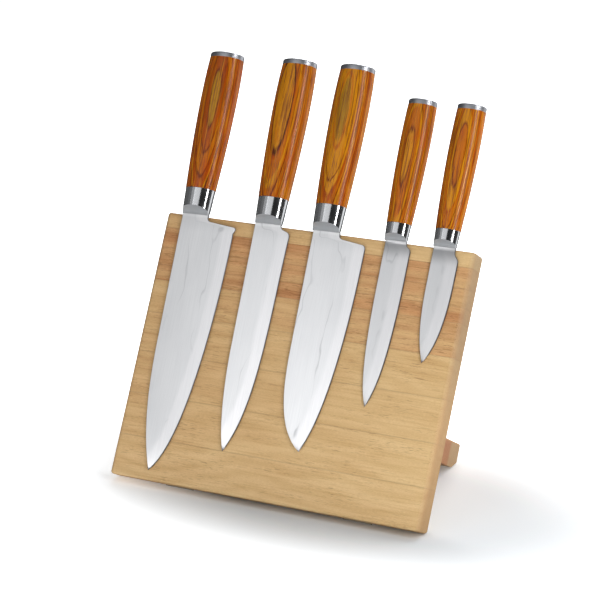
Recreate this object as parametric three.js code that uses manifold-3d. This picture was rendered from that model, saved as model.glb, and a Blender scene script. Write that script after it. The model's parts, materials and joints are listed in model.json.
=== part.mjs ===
// Leaning magnetic knife board: an edge-glued wooden board on a rear foot, with magnets let into its
// back, and five knives held flat against its front face.
//
// Millimetres, +Z up, +X across the board, +Y towards the back. The origin is the middle of the
// object's footprint on the table.

import * as THREE from 'three';
import { mergeVertices } from 'three/addons/utils/BufferGeometryUtils.js';
import Module from 'manifold-3d';

// ---------------------------------------------------------------- driving dimensions

const GAP = 0.3; // space left between neighbouring pieces

const BOARD_WIDTH = 260;
const BOARD_HEIGHT = 209; // measured up the leaning face
const BOARD_THICKNESS = 20;
const LEAN = THREE.MathUtils.degToRad(28); // from the vertical
const EASED_EDGE = 1.5;
const REST_CUT = 6.4; // how far the board's lower back corner drops below its lower front edge

// heights of the glue lines between the staves, from the top of the board to the bottom
const GLUE_LINES = [197, 181, 167, 155, 129, 98, 65, 32];
const WARM_STAVES = [2, 3, 4, 5]; // the redder ones, counted from the top

const FOOT_WIDTH = 193;
const FOOT_THICKNESS = 20;
const FOOT_HEIGHT = 61; // its lower face, measured up the board
const FOOT_REACH = 139; // its rear end, measured back from the board's front face

const PAD_THICKNESS = 1;
const PAD_LENGTH = 24;
const PAD_SPREAD = 75; // each pad's distance from the middle of the board
const BOARD_PAD_DEPTH = 5.6;
const FOOT_PAD_DEPTH = 9.5;

const DOWEL_RADIUS = 4;
const DOWEL_SIDES = 16;
const DOWEL_LENGTH = 30;
const DOWEL_SPREAD = 70;

const MAGNET_SIZE = { across: 30, deep: 6, high: 10 };
const MAGNET_ROWS = [{ name: 'upper', height: 189 }, { name: 'lower', height: 142 }];
const FRONT_WALL = 3; // wood left between a magnet slot and the board's front face
const SLOT_MARGIN = 2; // how far a slot runs past its outer magnets
const OVERSHOOT = 1; // how far a cutting tool runs past the surface that it cuts

const HANG_HEIGHT = 209.4; // where the blades end and the ferrules begin, measured up the board
const TURNED_SIDES = 28; // facets round a handle
const RIM_STEPS = 3; // facets round the rim of an end cap
const CURVE_STEPS = 10; // straight steps along each curve
const TANG_THICKNESS = 1.6;

// The two handle sizes. Heights run from the ferrule's lower end to the butt, and widths are half
// widths. A handle is an oval, flattened towards the blade's faces.
const OVAL_FLATNESS = 0.77;
const LARGE_HANDLE = {
  ferruleTop: 20, ferruleLower: 11.3, ferruleUpper: 12.2, bevelHeight: 4.8,
  woodTop: 126, woodLower: 12.4, woodBelly: [88, 16.4], woodUpper: 14.0,
  capTop: 130, capRim: 1.1,
  tangLength: 92, tangHalfWidth: 4.5, bladeThickness: 2.2,
};
const SMALL_HANDLE = {
  ferruleTop: 13, ferruleLower: 9.0, ferruleUpper: 9.6, bevelHeight: 4.0,
  woodTop: 105, woodLower: 9.8, woodBelly: [68, 13.0], woodUpper: 11.3,
  capTop: 109, capRim: 0.9,
  tangLength: 74, tangHalfWidth: 3.6, bladeThickness: 1.8,
};
const BLADE_END_THICKNESS = 3; // ferrule's thickness where it meets the blade
const CUTTING_EDGE_THICKNESS = 0.5;

// Each blade's outline is given as [across, along] from the point where the handle's axis leaves the
// ferrule: the spine is on the negative side, the cutting edge on the positive side, and the tip is
// at the far negative end. "at" is where the knife hangs across the board, "tilt" its small slant.
const KNIVES = [
  {
    name: 'chef_knife', handle: LARGE_HANDLE, at: -104.1, tilt: 1.2, tip: [3.7, -202],
    spine: -10.85, spineEnd: -100, spineCurve: [[-10.85, -126], [-9.9, -167]],
    neck: [11.7, -1.5], neckCurve: [11.7, -4.5], shoulder: [15.5, -4.9],
    heelTop: [35, -7.1], heelCurve: [37.2, -7.4], heelEnd: [36.8, -9.6],
    edgeTop: [35.6, -12], edgeCurve: [[36.1, -29], [34.3, -173.8]],
  },
  {
    name: 'carving_knife', handle: LARGE_HANDLE, at: -40.4, tilt: 1.2, tip: [-1.2, -177.7],
    spine: -10.95, spineEnd: -100, spineCurve: [[-10.95, -118], [-9, -158]],
    neck: [11.1, -0.5], neckCurve: [11.6, -3], shoulder: [14.3, -3.9],
    heelTop: [17.3, -5], heelCurve: [19.4, -5.9], heelEnd: [19.5, -9.4],
    edgeTop: [19.5, -9.6], edgeCurve: [[16.9, -70], [20.5, -143]],
  },
  {
    name: 'santoku_knife', handle: LARGE_HANDLE, at: 8.6, tilt: 1.0, tip: [12.6, -168.3],
    spine: -10.3, spineEnd: -85, spineCurve: [[-10.3, -113.6], [-10.5, -152]],
    neck: [12, -1.5], neckCurve: [12, -4.4], shoulder: [15.8, -4.9],
    heelTop: [31.3, -7.05], heelCurve: [34.2, -7.4], heelEnd: [34.5, -10.5],
    edgeTop: [34.5, -11], edgeCurve: [[34.5, -47.8], [31.6, -135.7]],
  },
  {
    name: 'utility_knife', handle: SMALL_HANDLE, at: 66.1, tilt: 0.6, tip: [1.4, -126.6],
    spine: -7.9, spineEnd: -40, spineCurve: [[-7.9, -75], [-6, -112]],
    neck: [9.5, -1], neckCurve: [9.6, -3.2], shoulder: [11, -4],
    heelTop: [12.4, -5.1], heelCurve: [13.5, -6], heelEnd: [13.5, -8.5],
    edgeTop: [13.5, -9], edgeCurve: [[13.5, -54.5], [12.8, -106.2]],
  },
  {
    name: 'paring_knife', handle: SMALL_HANDLE, at: 105.7, tilt: 0.5, tip: [-0.3, -87.8],
    spine: -8.5, spineEnd: -20, spineCurve: [[-8.5, -42], [-9.2, -66]],
    neck: [9.1, -2.5], neckCurve: [9.3, -5], shoulder: [10.4, -6.2],
    heelTop: [11.8, -7.8], heelCurve: [12.9, -9], heelEnd: [12.9, -10.8],
    edgeTop: [12.9, -11], edgeCurve: [[12.9, -30.7], [13.4, -70.8]],
  },
];

// ---------------------------------------------------------------- materials

const COLOURS = {
  lightWood: 0xcfae7c,
  warmWood: 0xbd9260,
  coverWood: 0xc2a06e,
  dowelWood: 0xd2b98c,
  handleWood: 0xa85a1c,
  bladeSteel: 0xc9ccd0,
  polishedSteel: 0xb4b7bb,
  magnet: 0x6f7378,
  rubber: 0x2a2a2a,
};

function wood(color) {
  return new THREE.MeshStandardMaterial({ color, roughness: 0.6, metalness: 0 });
}

function lacqueredWood() {
  return new THREE.MeshStandardMaterial({ color: COLOURS.handleWood, roughness: 0.25, metalness: 0 });
}

function steel(color, roughness) {
  return new THREE.MeshStandardMaterial({ color, roughness, metalness: 1 });
}

function rubber() {
  return new THREE.MeshStandardMaterial({ color: COLOURS.rubber, roughness: 0.9, metalness: 0 });
}

// ---------------------------------------------------------------- cutting solids

const wasm = await Module();
wasm.setup();

function toSolid(geometry) {
  const bare = geometry.clone();
  bare.deleteAttribute('normal');
  bare.deleteAttribute('uv');
  const merged = mergeVertices(bare);
  return new wasm.Manifold(new wasm.Mesh({
    numProp: 3,
    vertProperties: new Float32Array(merged.attributes.position.array),
    triVerts: new Uint32Array(merged.index.array),
  }));
}

function toGeometry(solid) {
  const mesh = solid.getMesh();
  const geometry = new THREE.BufferGeometry();
  geometry.setAttribute('position', new THREE.BufferAttribute(mesh.vertProperties, 3));
  geometry.setIndex(new THREE.BufferAttribute(mesh.triVerts, 1));
  geometry.computeVertexNormals();
  return geometry;
}

function cut(geometry, ...tools) {
  let solid = toSolid(geometry);
  for (const tool of tools) {
    solid = solid.subtract(toSolid(tool));
  }
  return toGeometry(solid);
}

// ---------------------------------------------------------------- basic shapes

// Box between two corners, each given as [x, y, z].
function boxBetween(low, high) {
  const size = high.map((value, i) => value - low[i]);
  const middle = high.map((value, i) => (value + low[i]) / 2);
  return new THREE.BoxGeometry(...size).translate(...middle);
}

// Side outline, as [y, z] points, extruded across the object from x = -width / 2 to width / 2.
function extrudeAcross(outline, width) {
  const shape = new THREE.Shape(outline.map(([y, z]) => new THREE.Vector2(y, z)));
  const geometry = new THREE.ExtrudeGeometry(shape, { depth: width, bevelEnabled: false });
  const turned = new THREE.Matrix4().makeBasis(
    new THREE.Vector3(0, 1, 0),
    new THREE.Vector3(0, 0, 1),
    new THREE.Vector3(1, 0, 0),
  );
  return geometry.applyMatrix4(turned).translate(-width / 2, 0, 0);
}

// Front outline (x across, z up) extruded forwards from y = back to y = back - thickness.
function extrudeForwards(shape, thickness, back) {
  const settings = { depth: thickness, bevelEnabled: false, curveSegments: CURVE_STEPS };
  return new THREE.ExtrudeGeometry(shape, settings).rotateX(Math.PI / 2).translate(0, back, 0);
}

// Plan outline, as [x, y] points, extruded upwards from z = low to z = high.
function extrudeUp(outline, low, high) {
  const shape = new THREE.Shape(outline.map(([x, y]) => new THREE.Vector2(x, y)));
  return new THREE.ExtrudeGeometry(shape, { depth: high - low, bevelEnabled: false })
    .translate(0, 0, low);
}

// Oval turning about the z axis: a profile of [half width, height] points from axis to axis.
function turnOval(profile, centreY) {
  const points = profile.map(([radius, height]) => new THREE.Vector2(radius, height));
  return new THREE.LatheGeometry(points, TURNED_SIDES)
    .rotateX(Math.PI / 2)
    .scale(1, OVAL_FLATNESS, 1)
    .translate(0, centreY, 0);
}

function addMesh(group, name, geometry, material) {
  const mesh = new THREE.Mesh(geometry, material);
  mesh.name = name;
  group.add(mesh);
  return mesh;
}

// ---------------------------------------------------------------- the board
//
// The board and everything on it is built upright, with its front face at y = 0 and its lower front
// edge at z = 0, in a group that is then leaned back.

const WOOD_ABOVE_TABLE = PAD_THICKNESS + GAP;
const EDGE_ABOVE_TABLE = WOOD_ABOVE_TABLE + REST_CUT;

// Height up the board at which the level cuts for the table meet a given depth behind its face.
function restHeight(depth) {
  return (depth * Math.sin(LEAN) - REST_CUT) / Math.cos(LEAN);
}

// Depth behind the face at which the level cuts meet a given height up the board.
function restDepth(height) {
  return (height * Math.cos(LEAN) + REST_CUT) / Math.sin(LEAN);
}

function staveOutline(low, high) {
  const isTop = high === BOARD_HEIGHT;
  const isBottom = low === 0;
  const ease = EASED_EDGE;
  const upper = isTop
    ? [[BOARD_THICKNESS, high - ease], [BOARD_THICKNESS - ease, high], [ease, high], [0, high - ease]]
    : [[BOARD_THICKNESS, high - GAP], [0, high - GAP]];
  const lower = isBottom
    ? [[0, ease], [ease, low], [restDepth(0), low], [BOARD_THICKNESS, restHeight(BOARD_THICKNESS)]]
    : [[0, low], [BOARD_THICKNESS, low]];
  return [...upper, ...lower];
}

function slotFor(row) {
  const halfWidth = Math.max(...KNIVES.map((knife) => Math.abs(knife.at)))
    + MAGNET_SIZE.across / 2 + SLOT_MARGIN;
  const halfHeight = MAGNET_SIZE.high / 2 + GAP;
  return {
    halfWidth,
    low: row.height - halfHeight,
    high: row.height + halfHeight,
  };
}

function slotTool(row) {
  const slot = slotFor(row);
  return boxBetween(
    [-slot.halfWidth, FRONT_WALL, slot.low],
    [slot.halfWidth, BOARD_THICKNESS + OVERSHOOT, slot.high],
  );
}

function dowelTool(x) {
  return dowelShape(DOWEL_RADIUS + GAP, DOWEL_LENGTH + 2 * GAP).translate(x, 0, 0);
}

// A dowel lies along y, half in the board and half in the foot.
function dowelShape(radius, length) {
  return new THREE.CylinderGeometry(radius, radius, length, DOWEL_SIDES)
    .translate(0, BOARD_THICKNESS, FOOT_HEIGHT + FOOT_THICKNESS / 2);
}

const DOWEL_PLACES = [-DOWEL_SPREAD, 0, DOWEL_SPREAD];

function buildStaves(group) {
  const edges = [BOARD_HEIGHT, ...GLUE_LINES, 0];
  for (let i = 0; i + 1 < edges.length; i += 1) {
    const high = edges[i];
    const low = edges[i + 1];
    let geometry = extrudeAcross(staveOutline(low, high), BOARD_WIDTH);
    for (const row of MAGNET_ROWS) {
      if (row.height > low && row.height < high) {
        geometry = cut(geometry, slotTool(row));
      }
    }
    const dowelHeight = FOOT_HEIGHT + FOOT_THICKNESS / 2;
    if (dowelHeight > low && dowelHeight < high) {
      geometry = cut(geometry, ...DOWEL_PLACES.map(dowelTool));
    }
    const number = i + 1;
    const color = WARM_STAVES.includes(number) ? COLOURS.warmWood : COLOURS.lightWood;
    addMesh(group, `board_stave_${number}`, geometry, wood(color));
  }
}

function buildMagnets(group) {
  for (const row of MAGNET_ROWS) {
    const slot = slotFor(row);
    for (const knife of KNIVES) {
      const half = MAGNET_SIZE.across / 2;
      const front = FRONT_WALL + GAP;
      const magnet = boxBetween(
        [knife.at - half, front, slot.low + GAP],
        [knife.at + half, front + MAGNET_SIZE.deep, slot.high - GAP],
      );
      const owner = knife.name.replace('_knife', '');
      addMesh(group, `magnet_${row.name}_${owner}`, magnet, steel(COLOURS.magnet, 0.4));
    }
    const cover = boxBetween(
      [GAP - slot.halfWidth, FRONT_WALL + MAGNET_SIZE.deep + 2 * GAP, slot.low + GAP],
      [slot.halfWidth - GAP, BOARD_THICKNESS, slot.high - GAP],
    );
    addMesh(group, `slot_cover_${row.name}`, cover, wood(COLOURS.coverWood));
  }
}

function buildFoot(group) {
  const top = FOOT_HEIGHT + FOOT_THICKNESS;
  const outline = [
    [BOARD_THICKNESS + GAP, FOOT_HEIGHT],
    [restDepth(FOOT_HEIGHT), FOOT_HEIGHT],
    [FOOT_REACH, restHeight(FOOT_REACH)],
    [FOOT_REACH, top - EASED_EDGE],
    [FOOT_REACH - EASED_EDGE, top],
    [BOARD_THICKNESS + GAP, top],
  ];
  const plank = cut(extrudeAcross(outline, FOOT_WIDTH), ...DOWEL_PLACES.map(dowelTool));
  addMesh(group, 'rear_foot', plank, wood(COLOURS.lightWood));
  DOWEL_PLACES.forEach((x, i) => {
    const dowel = dowelShape(DOWEL_RADIUS, DOWEL_LENGTH).translate(x, 0, 0);
    addMesh(group, `foot_dowel_${i + 1}`, dowel, wood(COLOURS.dowelWood));
  });
}

// ---------------------------------------------------------------- the knives
//
// A knife is built upright, with its handle's axis on x = 0, its ferrule starting at z = 0 and its
// back face at y = -GAP, then hung on the board at its place and tilt.

function bladeShape(knife) {
  const { tangLength, tangHalfWidth } = knife.handle;
  const shape = new THREE.Shape();
  shape.moveTo(-tangHalfWidth, tangLength);
  shape.lineTo(-tangHalfWidth, 0);
  shape.lineTo(knife.spine, 0);
  shape.lineTo(knife.spine, knife.spineEnd);
  shape.bezierCurveTo(...knife.spineCurve.flat(), ...knife.tip);
  shape.bezierCurveTo(...knife.edgeCurve[1], ...knife.edgeCurve[0], ...knife.edgeTop);
  shape.lineTo(...knife.heelEnd);
  shape.quadraticCurveTo(...knife.heelCurve, ...knife.heelTop);
  shape.lineTo(...knife.shoulder);
  shape.quadraticCurveTo(...knife.neckCurve, ...knife.neck);
  shape.lineTo(knife.neck[0], 0);
  shape.lineTo(tangHalfWidth, 0);
  shape.lineTo(tangHalfWidth, tangLength);
  return shape;
}

// The blade is ground on its front: full thickness at the spine, thin at the cutting edge.
function buildBlade(group, knife) {
  const { bladeThickness, tangLength } = knife.handle;
  const front = -GAP - bladeThickness;
  const edge = Math.max(knife.heelEnd[0], knife.edgeTop[0]);
  const blank = extrudeForwards(bladeShape(knife), bladeThickness, -GAP);
  const grind = extrudeUp(
    [
      [knife.spine, front],
      [knife.spine, front - OVERSHOOT],
      [edge + OVERSHOOT, front - OVERSHOOT],
      [edge + OVERSHOOT, -GAP - CUTTING_EDGE_THICKNESS],
    ],
    knife.tip[1] - OVERSHOOT,
    -GAP,
  );
  const tangFront = boxBetween(
    [-tangLength, front - OVERSHOOT, 0],
    [tangLength, -GAP - TANG_THICKNESS, tangLength + OVERSHOOT],
  );
  addMesh(group, `${knife.name}_blade`, cut(blank, grind, tangFront), steel(COLOURS.bladeSteel, 0.35));
}

// The hole for the tang, through the ferrule and up into the handle.
function tangHole(handle) {
  return boxBetween(
    [-handle.tangHalfWidth - GAP, -GAP - TANG_THICKNESS - GAP, -OVERSHOOT],
    [handle.tangHalfWidth + GAP, 0, handle.tangLength + GAP],
  );
}

// The ferrule is an oval collar whose lower end is bevelled down to the blade on both faces.
function buildFerrule(group, knife, centreY) {
  const { ferruleTop, ferruleLower, ferruleUpper, bevelHeight } = knife.handle;
  const collar = turnOval(
    [[0, GAP], [ferruleLower, GAP], [ferruleUpper, ferruleTop], [0, ferruleTop]],
    centreY,
  );
  const halfEnd = BLADE_END_THICKNESS / 2;
  const reach = ferruleUpper + OVERSHOOT;
  const slope = reach / (ferruleLower * OVAL_FLATNESS);
  const bevels = [-1, 1].map((side) => {
    const corners = [
      [centreY + side * halfEnd, GAP],
      [centreY + side * reach, GAP + bevelHeight * slope],
      [centreY + side * reach, -OVERSHOOT],
      [centreY + side * halfEnd, -OVERSHOOT],
    ];
    return extrudeAcross(side < 0 ? corners.reverse() : corners, 2 * reach);
  });
  const geometry = cut(collar, tangHole(knife.handle), ...bevels);
  addMesh(group, `${knife.name}_ferrule`, geometry, steel(COLOURS.polishedSteel, 0.12));
}

function buildHandle(group, knife, centreY) {
  const { ferruleTop, woodLower, woodBelly, woodUpper, woodTop } = knife.handle;
  const side = new THREE.QuadraticBezierCurve(
    new THREE.Vector2(woodLower, ferruleTop + GAP),
    new THREE.Vector2(woodBelly[1], woodBelly[0]),
    new THREE.Vector2(woodUpper, woodTop),
  );
  const sidePoints = side.getPoints(CURVE_STEPS).map((point) => [point.x, point.y]);
  const profile = [[0, ferruleTop + GAP], ...sidePoints, [0, woodTop]];
  const geometry = cut(turnOval(profile, centreY), tangHole(knife.handle));
  addMesh(group, `${knife.name}_handle`, geometry, lacqueredWood());
}

function buildEndCap(group, knife, centreY) {
  const { woodTop, woodUpper, capTop, capRim } = knife.handle;
  const rimPoints = [];
  for (let step = 1; step <= RIM_STEPS; step += 1) {
    const angle = (step / RIM_STEPS) * (Math.PI / 2);
    const inwards = capRim * (1 - Math.cos(angle));
    rimPoints.push([woodUpper - inwards, capTop - capRim + capRim * Math.sin(angle)]);
  }
  const profile = [
    [0, woodTop + GAP],
    [woodUpper, woodTop + GAP],
    [woodUpper, capTop - capRim],
    ...rimPoints,
    [0, capTop],
  ];
  addMesh(group, `${knife.name}_end_cap`, turnOval(profile, centreY), steel(COLOURS.polishedSteel, 0.15));
}

function buildKnife(board, knife) {
  const group = new THREE.Group();
  const centreY = -GAP - knife.handle.bladeThickness / 2;
  buildBlade(group, knife);
  buildFerrule(group, knife, centreY);
  buildHandle(group, knife, centreY);
  buildEndCap(group, knife, centreY);
  group.position.set(knife.at, 0, HANG_HEIGHT);
  group.rotation.y = -THREE.MathUtils.degToRad(knife.tilt);
  board.add(group);
}

// ---------------------------------------------------------------- the pads under the level cuts

// Distance behind the board's lower front edge, along the table, of a point on a level cut.
function tableDistance(height, depth) {
  return height * Math.sin(LEAN) + depth * Math.cos(LEAN);
}

function buildPads(object) {
  const boardCut = [
    tableDistance(0, restDepth(0)),
    tableDistance(restHeight(BOARD_THICKNESS), BOARD_THICKNESS),
  ];
  const footCut = [
    tableDistance(FOOT_HEIGHT, restDepth(FOOT_HEIGHT)),
    tableDistance(restHeight(FOOT_REACH), FOOT_REACH),
  ];
  const rows = [
    { name: 'board', middle: (boardCut[0] + boardCut[1]) / 2, depth: BOARD_PAD_DEPTH },
    { name: 'foot', middle: (footCut[0] + footCut[1]) / 2, depth: FOOT_PAD_DEPTH },
  ];
  for (const row of rows) {
    for (const [side, x] of [['left', -PAD_SPREAD], ['right', PAD_SPREAD]]) {
      const pad = boxBetween(
        [x - PAD_LENGTH / 2, row.middle - row.depth / 2, 0],
        [x + PAD_LENGTH / 2, row.middle + row.depth / 2, PAD_THICKNESS],
      );
      addMesh(object, `${row.name}_pad_${side}`, pad, rubber());
    }
  }
}

// ---------------------------------------------------------------- assembly

function buildObject() {
  const object = new THREE.Group();
  const board = new THREE.Group();
  buildStaves(board);
  buildMagnets(board);
  buildFoot(board);
  for (const knife of KNIVES) {
    buildKnife(board, knife);
  }
  board.rotation.x = -LEAN;
  board.position.z = EDGE_ABOVE_TABLE;
  object.add(board);
  buildPads(object);

  object.updateMatrixWorld(true);
  const middle = new THREE.Box3().setFromObject(object, true).getCenter(new THREE.Vector3());
  object.position.set(-middle.x, -middle.y, 0);
  object.updateMatrixWorld(true);
  return object;
}

export default buildObject();
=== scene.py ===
import json
import math

import bmesh
import bpy
import numpy as np
from mathutils import Matrix, Vector


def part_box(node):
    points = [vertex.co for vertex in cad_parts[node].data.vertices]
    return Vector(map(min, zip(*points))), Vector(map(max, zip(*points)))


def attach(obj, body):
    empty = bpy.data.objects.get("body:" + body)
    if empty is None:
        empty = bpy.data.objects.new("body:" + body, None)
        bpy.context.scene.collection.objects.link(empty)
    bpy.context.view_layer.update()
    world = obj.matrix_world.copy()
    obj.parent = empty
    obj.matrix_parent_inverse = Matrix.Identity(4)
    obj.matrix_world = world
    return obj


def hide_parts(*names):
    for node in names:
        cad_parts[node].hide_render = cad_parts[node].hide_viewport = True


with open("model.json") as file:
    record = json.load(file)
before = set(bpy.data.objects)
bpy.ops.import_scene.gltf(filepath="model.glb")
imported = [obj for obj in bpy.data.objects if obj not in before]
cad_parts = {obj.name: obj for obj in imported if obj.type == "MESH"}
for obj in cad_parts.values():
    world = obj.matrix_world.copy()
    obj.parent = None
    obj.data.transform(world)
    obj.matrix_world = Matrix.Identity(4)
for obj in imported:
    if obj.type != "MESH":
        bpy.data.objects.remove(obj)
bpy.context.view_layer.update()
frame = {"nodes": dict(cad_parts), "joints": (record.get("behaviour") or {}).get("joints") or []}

# A leaning magnetic knife board with five knives. The pieces are built in millimetres, most of
# them in the board's frame or in a knife's, and then placed in the CAD model's frame, in metres.
#
# Board frame: x along the board, y back into the wood from the front face, z up the face.
# Knife frame: x from the spine (negative) to the cutting edge, z from the tip up to the butt.

# -------------------- driving dimensions, in mm

MM = 0.001
GAP = 0.3               # what the CAD model leaves between neighbouring pieces
HAIRLINE = 0.03         # what is left between them here
SAME = 1e-3             # positions that are no further apart than this count as the same
EASED_EDGE = 1.5        # easing of the foot's edges, and of the CAD model's board
RIM_ROUNDING = 2.0      # rounding of the board's top and bottom edges
END_ROUNDING = 4.0      # rounding of the board's four upright edges
ROUNDING_STEPS = 8
REST_CUT = 6.4          # how far the board's lower back corner drops below its lower front edge
STAVES = 9
SLOT_STAVES = {2: "upper", 5: "lower"}      # the staves that hold the rows of magnets
DOWEL_STAVE = 7
DOWELS = 3
DOWEL_RADIUS = 4
COVER_EDGE = 0.3        # easing of the slot covers' edges
PAD_EDGE = 0.35         # rounding of the rubber pads' edges

HANG_HEIGHT = 209.4     # where blades end and ferrules begin, measured up the board
OVAL_FLATNESS = 0.77    # a handle's depth as a share of its width
ROUND_ANGLES = np.linspace(0, 2 * math.pi, 96, endpoint=False)
TANG_THICKNESS = 1.6
ROW_STEP = 2.0          # between the rows of faces along a blade
FACE_COLUMNS = 14       # columns of faces across a blade
EDGE_BEVEL = 0.8        # width of the sharpened strip
EDGE_HALF = 0.03        # half the thickness at the cutting edge
FACE_HALF = 0.25        # half the thickness where the sharpened strip begins
SPINE_ROUNDING = 0.35
DISTAL_TAPER = 0.35     # share of the thickness that the spine loses towards the tip
HOLLOW_HEIGHTS = (-15.0, -2.4, -0.8)    # where the hollow below the ferrule ends, bottoms, starts
HOLLOW_PAINTED_SHADE = 1.9   # how much painted shade darkens the hollow, per mm of its depth

STEEL_RIM = 0.2         # easing of the rims where the ferrule and the cap meet the wood
BLADE_END_THICKNESS = 3     # of the ferrule, where it is ground down to the blade
COVE_POWER = 2.8        # how late the ferrule's cut curves away from the blade
COVE_STEPS = 16
COVE_OVERRUN = 1.06     # how far the cut runs on past its height, so that it leaves the side
COVE_TOLERANCE = 0.08   # how near to that curve a face lies that belongs to the cut

# Each handle's sizes, with the blade that it takes. "hollow" is how deep the blade is hollowed below
# the ferrule, and "steel_tone" is how light its steel is, from 0 to 255.
LARGE_HANDLE = dict(
    ferrule_top=20, ferrule_lower=11.3, ferrule_upper=12.2, cove_height=5.7,
    wood_lower=12.4, belly=(88, 16.4), wood_upper=14.0, wood_top=126,
    cap_top=130, cap_rim=1.1,
    tang_length=92, tang_half_width=4.5, blade_thickness=2.2, hollow=0.05, steel_tone=226,
)
SMALL_HANDLE = dict(
    ferrule_top=13, ferrule_lower=9.0, ferrule_upper=9.6, cove_height=4.6,
    wood_lower=9.8, belly=(68, 13.0), wood_upper=11.3, wood_top=105,
    cap_top=109, cap_rim=0.9,
    tang_length=74, tang_half_width=3.6, blade_thickness=1.8, hollow=0.32, steel_tone=211,
)

# Outline points are (across, along) from where the handle's axis leaves the ferrule. "at" is the
# knife's place across the board and "tilt" its small slant, in degrees. "layers" are the veneers
# of the handle from its front inwards, each a colour and a thickness. They lean by "veneer_slope"
# over the handle's length, and the loops that they draw lie round "veneer_centre".
KNIVES = dict(
    chef_knife=dict(
        handle=LARGE_HANDLE, at=-104.1, tilt=1.2, tip=(3.7, -202),
        spine=-10.85, spine_end=-100, spine_curve=((-10.85, -126), (-9.9, -167)),
        neck=(11.7, -1.5), neck_curve=(11.7, -4.5), shoulder=(15.5, -4.9),
        heel_top=(35, -7.1), heel_curve=(37.2, -7.4), heel_end=(36.8, -9.6),
        edge_top=(35.6, -12), edge_curve=((36.1, -29), (34.3, -173.8)),
        layers="olive .09 brown .07 rust .53 brown .08 amber .70 brown .15 rust .60 gold .25 "
               "brown .30 rust .80 amber .40 brown .30 rust .70",
        veneer_slope=-0.2, veneer_centre=-2.0,
    ),
    carving_knife=dict(
        handle=LARGE_HANDLE, at=-40.4, tilt=1.2, tip=(-1.2, -177.7),
        spine=-10.95, spine_end=-100, spine_curve=((-10.95, -118), (-9, -158)),
        neck=(11.1, -0.5), neck_curve=(11.6, -3), shoulder=(14.3, -3.9),
        heel_top=(17.3, -5), heel_curve=(19.4, -5.9), heel_end=(19.5, -9.4),
        edge_top=(19.5, -9.6), edge_curve=((16.9, -70), (20.5, -143)),
        layers="gold .46 dark .20 rust .10 amber .62 gold .32 amber .30 brown .20 amber .70 "
               "rust .40 gold .30 brown .25 amber .80 rust .40",
        veneer_slope=-0.3, veneer_centre=3.0,
    ),
    santoku_knife=dict(
        handle=LARGE_HANDLE, at=8.6, tilt=1.0, tip=(12.6, -168.3),
        spine=-10.3, spine_end=-85, spine_curve=((-10.3, -113.6), (-10.5, -152)),
        neck=(12, -1.5), neck_curve=(12, -4.4), shoulder=(15.8, -4.9),
        heel_top=(31.3, -7.05), heel_curve=(34.2, -7.4), heel_end=(34.5, -10.5),
        edge_top=(34.5, -11), edge_curve=((34.5, -47.8), (31.6, -135.7)),
        layers="olive .26 gold .10 amber .12 gold .78 brown .07 gold .40 rust .35 amber .45 "
               "brown .20 gold .50 rust .50 amber .60 brown .25 rust .50",
        veneer_slope=-0.2, veneer_centre=1.0,
    ),
    utility_knife=dict(
        handle=SMALL_HANDLE, at=66.1, tilt=0.6, tip=(1.4, -126.6),
        spine=-7.9, spine_end=-40, spine_curve=((-7.9, -75), (-6, -112)),
        neck=(9.5, -1), neck_curve=(9.6, -3.2), shoulder=(11, -4),
        heel_top=(12.4, -5.1), heel_curve=(13.5, -6), heel_end=(13.5, -8.5),
        edge_top=(13.5, -9), edge_curve=((13.5, -54.5), (12.8, -106.2)),
        layers="gold .20 brown .06 amber .55 gold .30 brown .10 amber .45 rust .30 gold .30 "
               "brown .20 amber .50 rust .40 gold .30 brown .20",
        veneer_slope=1.0, veneer_centre=1.0,
    ),
    paring_knife=dict(
        handle=SMALL_HANDLE, at=105.7, tilt=0.5, tip=(-0.3, -87.8),
        spine=-8.5, spine_end=-20, spine_curve=((-8.5, -42), (-9.2, -66)),
        neck=(9.1, -2.5), neck_curve=(9.3, -5), shoulder=(10.4, -6.2),
        heel_top=(11.8, -7.8), heel_curve=(12.9, -9), heel_end=(12.9, -10.8),
        edge_top=(12.9, -11), edge_curve=((12.9, -30.7), (13.4, -70.8)),
        layers="amber .30 brown .03 gold .45 rust .10 amber .40 brown .05 gold .35 rust .30 "
               "gold .25 brown .15 amber .50 rust .40",
        veneer_slope=0.6, veneer_centre=-1.0,
    ),
)

# How red each stave is at its left and right ends, from 0 to 1.
STAVE_WARMTH = (
    (0.30, 0.00), (1.00, 0.65), (0.80, 0.60), (0.95, 0.85), (0.25, 0.55),
    (0.30, 0.00), (0.35, 0.00), (0.30, 0.00), (0.22, 0.05),
)
STAVE_SEED = (431.0, 57.0, 83.0)    # how far apart in the wood two staves are cut

# The board's end turns greyer with height, and painted light lightens its face towards its foot;
# the foot's end has painted shade, darker and redder near the board and paler with depth behind it.
END_TONE_HEIGHTS = (60, 160)
PAINTED_LIGHT_HEIGHTS = (91, -39)
FOOT_PAINTED_SHADE_DEPTHS = (96, 100)


# -------------------- frames

LEAN = math.atan2(frame["joints"][0]["axis"][2], -frame["joints"][0]["axis"][1])


def board_frame():
    """The board's frame, as a matrix from its millimetres to the CAD model's metres."""
    low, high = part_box("board_stave_9")
    edge = Vector((
        (low.x + high.x) / 2,
        low.y - EASED_EDGE * math.sin(LEAN) * MM,
        low.z + REST_CUT * MM,
    ))
    return Matrix.Translation(edge) @ Matrix.Rotation(-LEAN, 4, "X") @ Matrix.Scale(MM, 4)


BOARD = board_frame()
BOARD_INVERSE = BOARD.inverted()


def knife_frame(knife):
    """A knife's frame, from where it hangs on the board."""
    hung = Matrix.Translation((knife["at"], 0, HANG_HEIGHT))
    return BOARD @ hung @ Matrix.Rotation(-math.radians(knife["tilt"]), 4, "Y")


def board_box(node):
    """Lowest and highest corner of a CAD node in the board frame."""
    points = [BOARD_INVERSE @ v.co for v in frame["nodes"][node].data.vertices]
    return np.min(points, axis=0), np.max(points, axis=0)


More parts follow.
